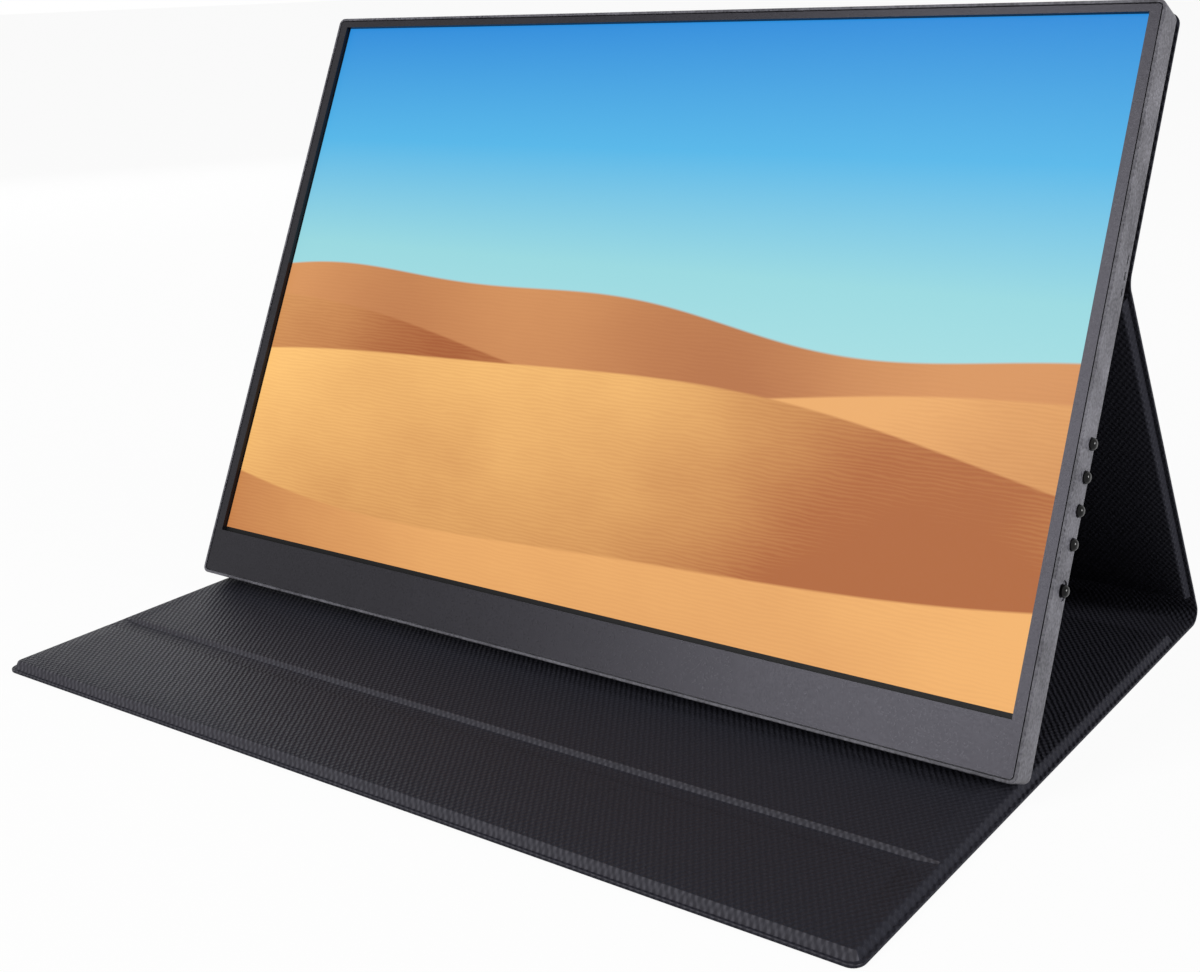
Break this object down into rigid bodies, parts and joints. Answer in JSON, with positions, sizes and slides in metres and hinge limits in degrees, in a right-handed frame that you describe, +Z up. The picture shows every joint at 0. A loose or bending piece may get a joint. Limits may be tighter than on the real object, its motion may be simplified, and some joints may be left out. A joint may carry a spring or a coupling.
{
  "type": "portable monitor with folding cover",
  "caption": "Thin portable monitor leaning back on a soft folding cover: stiff panels joined by soft folds make a stand, with push buttons on the right edge.",
  "frame": {"origin": "on the table under the cover, in the middle of the footprint and of the case's width", "axes": "+X to the viewer's right, +Y to the back, +Z up"},
  "size_m": [0.3574, 0.2552, 0.2241],
  "materials": {
    "bezel": "dark grey moulded plastic, fine satin texture",
    "shell": "grey moulded plastic, satin",
    "screen": "display glass with an anti-glare surface",
    "button": "glossy black plastic",
    "cover_skin": "black coated fabric, fine embossed grain",
    "cover_lining": "black embossed twill-grain lining",
    "stiffener": "grey board",
    "magnet": "plated magnet",
    "black_film": "black film or moulding",
    "white_film": "white optical film",
    "clear_plastic": "clear acrylic sheet",
    "sheet_metal": "plain rolled sheet",
    "circuit_board": "green solder mask",
    "flat_cable": "amber polyimide",
    "chip": "black moulded package",
    "socket_metal": "stamped plated steel",
    "screw_steel": "plain steel",
    "speaker_case": "black moulding",
    "lead_sleeve": "black sleeve",
    "foam": "dark foam"
  },
  "bodies": {
    "base": {"base_skin": "cover_skin", "base_stiffener": "stiffener", "base_lining": "cover_lining", "rear_fold_strip": "cover_skin", "front_fold_strip": "cover_lining"},
    "leg": {"leg_skin": "cover_skin", "leg_stiffener": "stiffener", "leg_lining": "cover_lining", "mid_fold_strip": "cover_skin"},
    "monitor": {"front_bezel": "bezel", "rear_shell": "shell", "panel_tape": "black_film", "lcd_glass": "screen", "diffuser_films": "white_film", "light_guide": "clear_plastic", "led_strip": "circuit_board", "reflector_sheet": "white_film", "panel_back_plate": "sheet_metal", "panel_driver_board": "circuit_board", "display_cable": "flat_cable", "main_board": "circuit_board", "video_chips": "chip", "usb_c_ports": "socket_metal", "mini_video_port": "socket_metal", "audio_jack": "black_film", "board_screws": "screw_steel", "button_board": "circuit_board", "tact_switches": "chip", "button_cable": "flat_cable", "speaker_left": "speaker_case", "speaker_right": "speaker_case", "speaker_leads": "lead_sleeve", "foam_pads": "foam", "shell_magnets": "magnet", "cover_adhesive": "black_film", "upper_skin": "cover_skin", "upper_stiffener": "stiffener", "upper_lining": "cover_lining"},
    "flap": {"flap_skin": "cover_skin", "flap_stiffener": "stiffener", "flap_lining": "cover_lining", "flap_magnets": "magnet"},
    "control_button_1": {"control_button_1": "button"},
    "control_button_2": {"control_button_2": "button"},
    "control_button_3": {"control_button_3": "button"},
    "control_button_4": {"control_button_4": "button"},
    "power_button": {"power_button": "button"}
  },
  "joints": [
    {"name": "rear_fold", "type": "hinge", "parent": "base", "child": "leg", "pos_m": [0, 0.12698, 0.00241], "axis": [-1, 0, 0], "range_deg": [0, 121.6], "deforming": ["rear_fold_strip"]},
    {"name": "mid_fold", "type": "hinge", "parent": "leg", "child": "monitor", "pos_m": [0, 0.04479, 0.14059], "axis": [1, 0, 0], "range_deg": [0, 57.2], "deforming": ["mid_fold_strip"]},
    {"name": "front_fold", "type": "hinge", "parent": "base", "child": "flap", "pos_m": [0, -0.0818, 0.0015], "axis": [-1, 0, 0], "range_deg": [0, 110], "deforming": ["front_fold_strip"]},
    {"name": "control_button_1_press", "type": "slide", "parent": "monitor", "child": "control_button_1", "axis": [-1, 0, 0], "range_m": [0, 0.0004], "stiffness_N_per_m": 1500, "springref_m": -0.0003},
    {"name": "control_button_2_press", "type": "slide", "parent": "monitor", "child": "control_button_2", "axis": [-1, 0, 0], "range_m": [0, 0.0004], "stiffness_N_per_m": 1500, "springref_m": -0.0003},
    {"name": "control_button_3_press", "type": "slide", "parent": "monitor", "child": "control_button_3", "axis": [-1, 0, 0], "range_m": [0, 0.0004], "stiffness_N_per_m": 1500, "springref_m": -0.0003},
    {"name": "control_button_4_press", "type": "slide", "parent": "monitor", "child": "control_button_4", "axis": [-1, 0, 0], "range_m": [0, 0.0004], "stiffness_N_per_m": 1500, "springref_m": -0.0003},
    {"name": "power_button_press", "type": "slide", "parent": "monitor", "child": "power_button", "axis": [-1, 0, 0], "range_m": [0, 0.0004], "stiffness_N_per_m": 1500, "springref_m": -0.0003}
  ],
  "couplings": [
    {"joint": "mid_fold", "follows": "rear_fold", "ratio": 0.47039}
  ]
}
